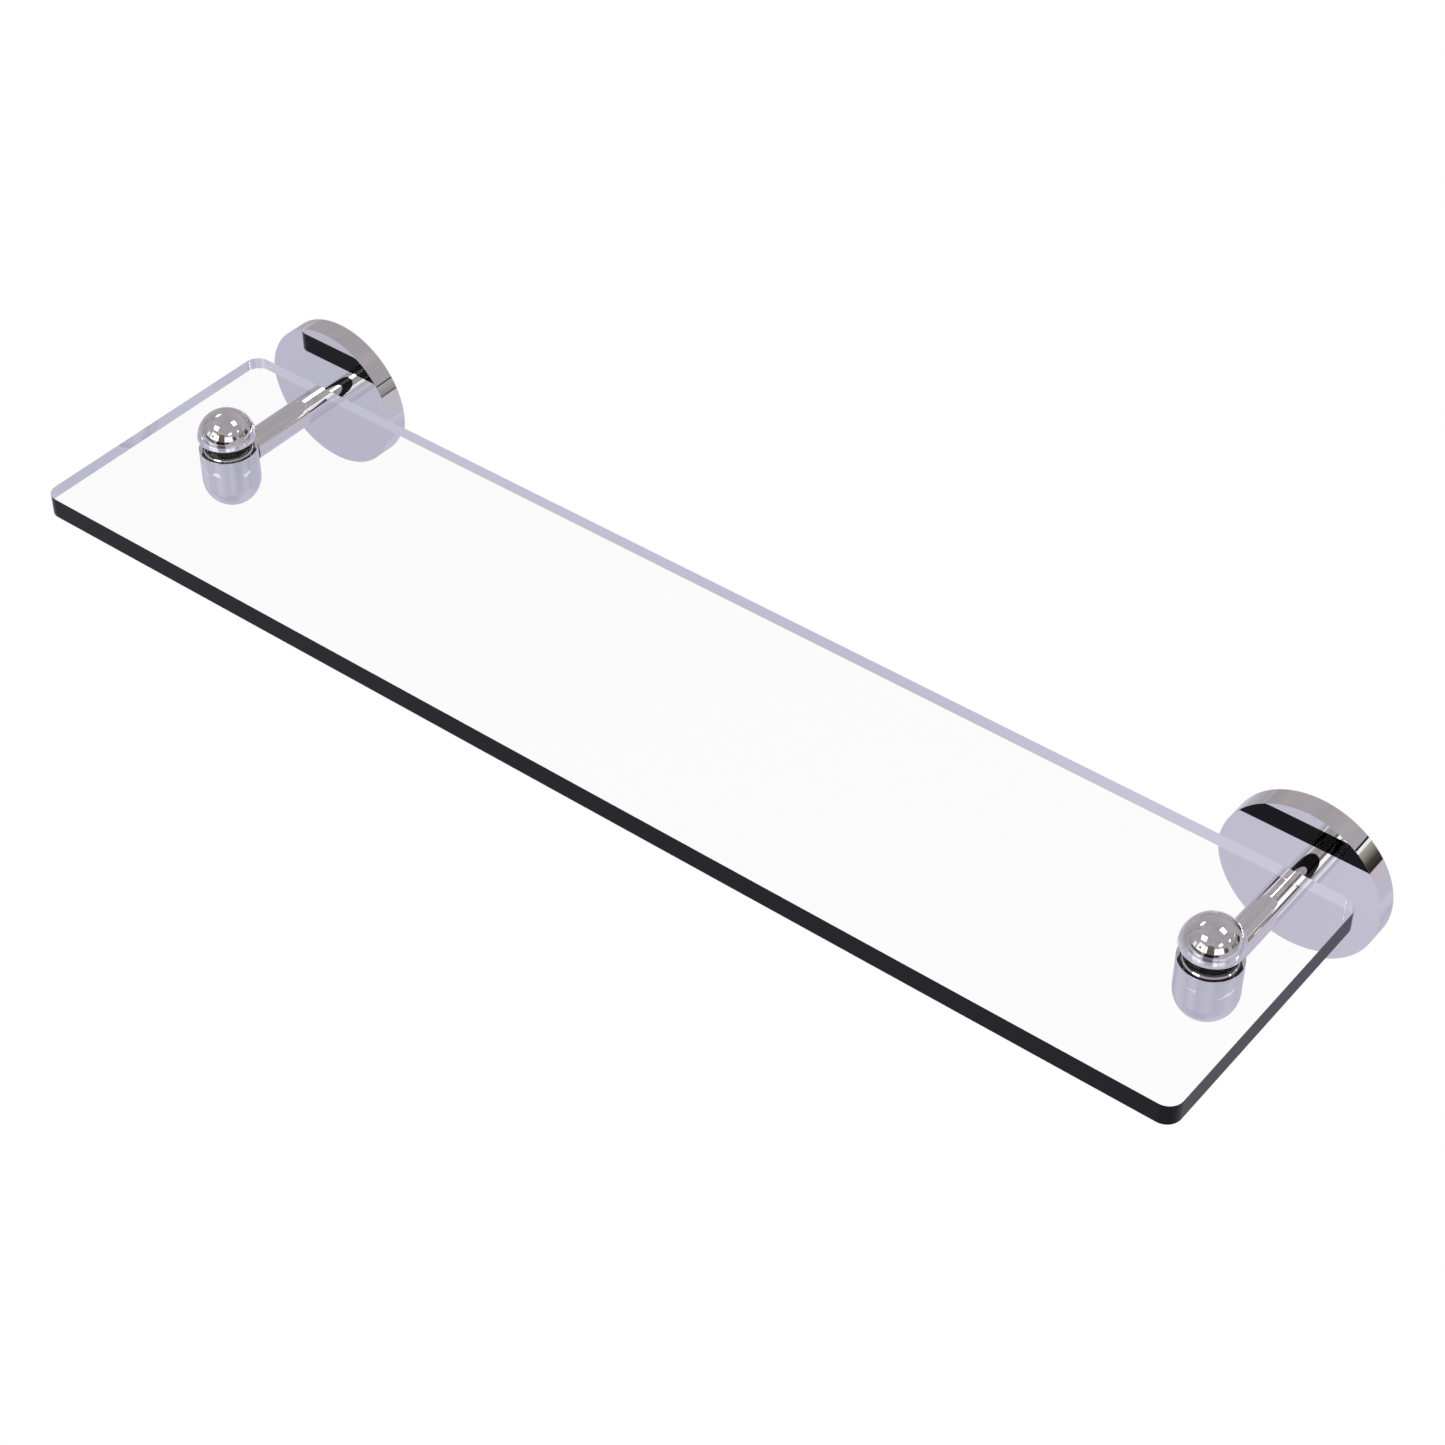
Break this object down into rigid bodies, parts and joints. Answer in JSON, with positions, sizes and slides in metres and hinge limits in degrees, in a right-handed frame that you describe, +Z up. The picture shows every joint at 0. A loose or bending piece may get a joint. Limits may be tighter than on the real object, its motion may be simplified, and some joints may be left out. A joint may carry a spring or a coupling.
{
  "type": "wall shelf with brackets",
  "caption": "Clear glass wall shelf clamped on round chrome posts with round wall rosettes, domed nuts above the glass and round-bottomed clamp bodies below.",
  "frame": {"origin": "on the wall plane, midway between the brackets, at the height of the posts' axes", "axes": "+X along the shelf to the right as seen from the room, +Y into the wall, +Z up"},
  "size_m": [0.5652, 0.1499, 0.0698],
  "materials": {
    "chrome": "polished mirror",
    "glass": "clear, polished edges",
    "rubber": "matte black",
    "nylon": "natural, translucent white",
    "plated_steel": "zinc plated"
  },
  "bodies": {
    "frame": {"glass_shelf": "glass", "left_rosette": "chrome", "left_wall_plate": "plated_steel", "left_rosette_set_screw": "plated_steel", "left_post": "chrome", "left_post_screw": "plated_steel", "left_post_stud": "plated_steel", "left_clamp_body": "chrome", "left_clamp_stud": "plated_steel", "left_lower_gasket": "rubber", "left_glass_sleeve": "nylon", "right_rosette": "chrome", "right_wall_plate": "plated_steel", "right_rosette_set_screw": "plated_steel", "right_post": "chrome", "right_post_screw": "plated_steel", "right_post_stud": "plated_steel", "right_clamp_body": "chrome", "right_clamp_stud": "plated_steel", "right_lower_gasket": "rubber", "right_glass_sleeve": "nylon"},
    "left_gasket": {"left_upper_gasket": "rubber"},
    "left_dome": {"left_dome_nut": "chrome"},
    "right_gasket": {"right_upper_gasket": "rubber"},
    "right_dome": {"right_dome_nut": "chrome"}
  },
  "joints": [
    {"name": "left_dome_lift", "type": "slide", "parent": "frame", "child": "left_gasket", "axis": [0, 0, 1], "range_m": [0, 0.0089]},
    {"name": "left_dome_turn", "type": "hinge", "parent": "left_gasket", "child": "left_dome", "pos_m": [-0.24765, -0.0733, 0.0178], "axis": [0, 0, 1], "range_deg": [0, 2520]},
    {"name": "right_dome_lift", "type": "slide", "parent": "frame", "child": "right_gasket", "axis": [0, 0, 1], "range_m": [0, 0.0089]},
    {"name": "right_dome_turn", "type": "hinge", "parent": "right_gasket", "child": "right_dome", "pos_m": [0.24765, -0.0733, 0.0178], "axis": [0, 0, 1], "range_deg": [0, 2520]}
  ],
  "couplings": [
    {"joint": "left_dome_lift", "follows": "left_dome_turn", "m_per_rad": 0.00020213},
    {"joint": "right_dome_lift", "follows": "right_dome_turn", "m_per_rad": 0.00020213}
  ]
}
